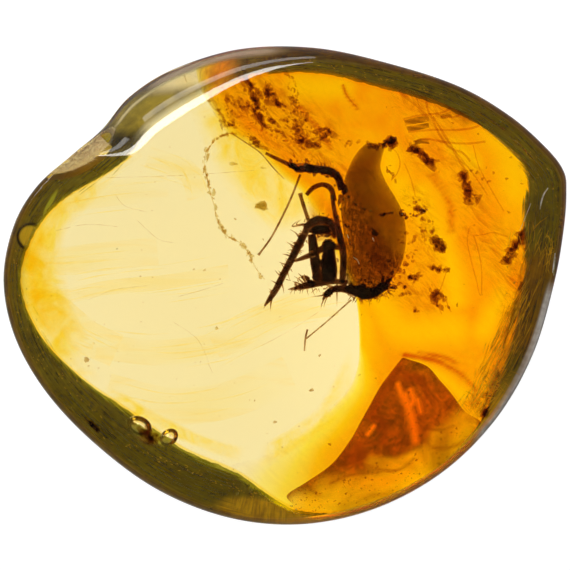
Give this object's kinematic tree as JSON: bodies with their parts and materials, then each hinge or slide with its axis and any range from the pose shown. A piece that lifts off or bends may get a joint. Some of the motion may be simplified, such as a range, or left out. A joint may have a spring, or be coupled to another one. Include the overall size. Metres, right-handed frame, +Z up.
{
  "type": "amber with inclusions",
  "caption": "Polished amber pebble, see-through and honey coloured, with a spiny-legged insect and debris sealed in it, lying flat.",
  "frame": {"origin": "centre of the ground resting face on the underside, below the middle of the overall length and width", "axes": "+X along the pebble's length, towards its pointed corner; +Y across it, towards the side with the hollow; +Z up, out of the polished dome"},
  "size_m": [0.04, 0.034, 0.0125],
  "materials": {
    "amber": "polished, see-through honey amber"
  },
  "bodies": {
    "root": {"amber_stone": "amber"}
  },
  "joints": []
}
